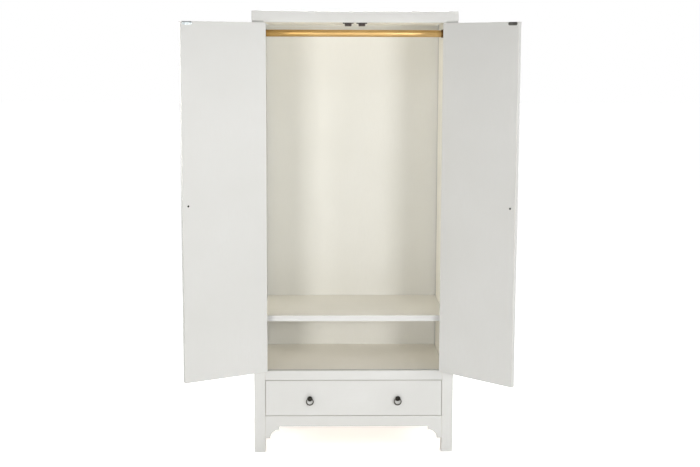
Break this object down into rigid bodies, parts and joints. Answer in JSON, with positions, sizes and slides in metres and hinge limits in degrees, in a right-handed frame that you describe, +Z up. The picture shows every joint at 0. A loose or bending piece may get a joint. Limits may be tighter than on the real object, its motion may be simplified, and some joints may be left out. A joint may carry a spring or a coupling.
{
  "type": "wardrobe",
  "caption": "Tall wardrobe with open doors, a hanging rail, a low shelf and a drawer with ring pulls over a bracketed apron.",
  "frame": {"origin": "centre of the underside of the front left foot", "axes": "+Z up, +X along the front from the left foot to the right foot, +Y from the front to the back"},
  "size_m": [1.4272, 0.8291, 1.985],
  "materials": {
    "lacquer_white": "satin off-white lacquer on wood",
    "lacquer_cream": "satin cream lacquer on wood, inside",
    "drawer_pine": "clear sealed pine",
    "rail_gold": "satin gold-coloured tube",
    "cup_bronze": "dark bronzed metal",
    "black_iron": "blackened iron, waxed",
    "catch_brown": "moulded dark brown plastic",
    "hinge_steel": "zinc-plated steel"
  },
  "bodies": {
    "carcass": {"post_front_left": "lacquer_white", "post_front_right": "lacquer_white", "post_rear_left": "lacquer_white", "post_rear_right": "lacquer_white", "side_panel_left": "lacquer_white", "side_panel_right": "lacquer_white", "top_rail": "lacquer_white", "top_board": "lacquer_white", "mid_rail": "lacquer_white", "front_apron": "lacquer_white", "cabinet_floor": "lacquer_cream", "shelf": "lacquer_cream", "shelf_cleat_left": "lacquer_cream", "shelf_cleat_right": "lacquer_cream", "back_panel": "lacquer_cream", "back_rail_lower": "lacquer_white", "back_rail_middle": "lacquer_white", "back_rail_upper": "lacquer_white", "hanging_rail": "rail_gold", "rail_cup_left": "cup_bronze", "rail_cup_right": "cup_bronze", "magnet_catch_left": "catch_brown", "magnet_catch_right": "catch_brown", "hinge_frame_left_bottom": "hinge_steel", "hinge_frame_left_middle": "hinge_steel", "hinge_frame_left_top": "hinge_steel", "hinge_frame_right_bottom": "hinge_steel", "hinge_frame_right_middle": "hinge_steel", "hinge_frame_right_top": "hinge_steel", "drawer_runner_left": "drawer_pine", "drawer_runner_right": "drawer_pine"},
    "left_door": {"door_left": "lacquer_white", "hinge_door_left_bottom": "hinge_steel", "hinge_door_left_middle": "hinge_steel", "hinge_door_left_top": "hinge_steel", "strike_plate_left": "hinge_steel", "pull_stud_door_left": "black_iron", "pull_screw_door_left": "black_iron"},
    "right_door": {"door_right": "lacquer_white", "hinge_door_right_bottom": "hinge_steel", "hinge_door_right_middle": "hinge_steel", "hinge_door_right_top": "hinge_steel", "strike_plate_right": "hinge_steel", "pull_stud_door_right": "black_iron", "pull_screw_door_right": "black_iron"},
    "drawer_box": {"drawer_front": "lacquer_white", "drawer_side_left": "drawer_pine", "drawer_side_right": "drawer_pine", "drawer_back": "drawer_pine", "drawer_bottom": "drawer_pine", "pull_stud_drawer_left": "black_iron", "pull_screw_drawer_left": "black_iron", "pull_stud_drawer_right": "black_iron", "pull_screw_drawer_right": "black_iron"},
    "left_door_ring": {"pull_ring_door_left": "black_iron"},
    "right_door_ring": {"pull_ring_door_right": "black_iron"},
    "drawer_left_ring": {"pull_ring_drawer_left": "black_iron"},
    "drawer_right_ring": {"pull_ring_drawer_right": "black_iron"}
  },
  "joints": [
    {"name": "left_door_hinge", "type": "hinge", "parent": "carcass", "child": "left_door", "pos_m": [0.026, -0.03, 1.1575], "axis": [0, 0, -1], "range_deg": [-151, 24]},
    {"name": "right_door_hinge", "type": "hinge", "parent": "carcass", "child": "right_door", "pos_m": [0.824, -0.03, 1.1575], "axis": [0, 0, 1], "range_deg": [-136, 39]},
    {"name": "drawer_slide", "type": "slide", "parent": "carcass", "child": "drawer_box", "axis": [0, -1, 0], "range_m": [0, 0.38]},
    {"name": "left_door_ring_swing", "type": "hinge", "parent": "left_door", "child": "left_door_ring", "pos_m": [-0.30106, -0.20832, 1.153], "axis": [0.8746, 0.4848, 0], "range_deg": [-8, 30]},
    {"name": "right_door_ring_swing", "type": "hinge", "parent": "right_door", "child": "right_door_ring", "pos_m": [1.09376, -0.28689, 1.153], "axis": [0.7193, -0.6947, 0], "range_deg": [-8, 30]},
    {"name": "drawer_left_ring_swing", "type": "hinge", "parent": "drawer_box", "child": "drawer_left_ring", "pos_m": [0.226, -0.0326, 0.253], "axis": [-1, 0, 0], "range_deg": [-8, 30]},
    {"name": "drawer_right_ring_swing", "type": "hinge", "parent": "drawer_box", "child": "drawer_right_ring", "pos_m": [0.624, -0.0326, 0.253], "axis": [-1, 0, 0], "range_deg": [-8, 30]}
  ]
}
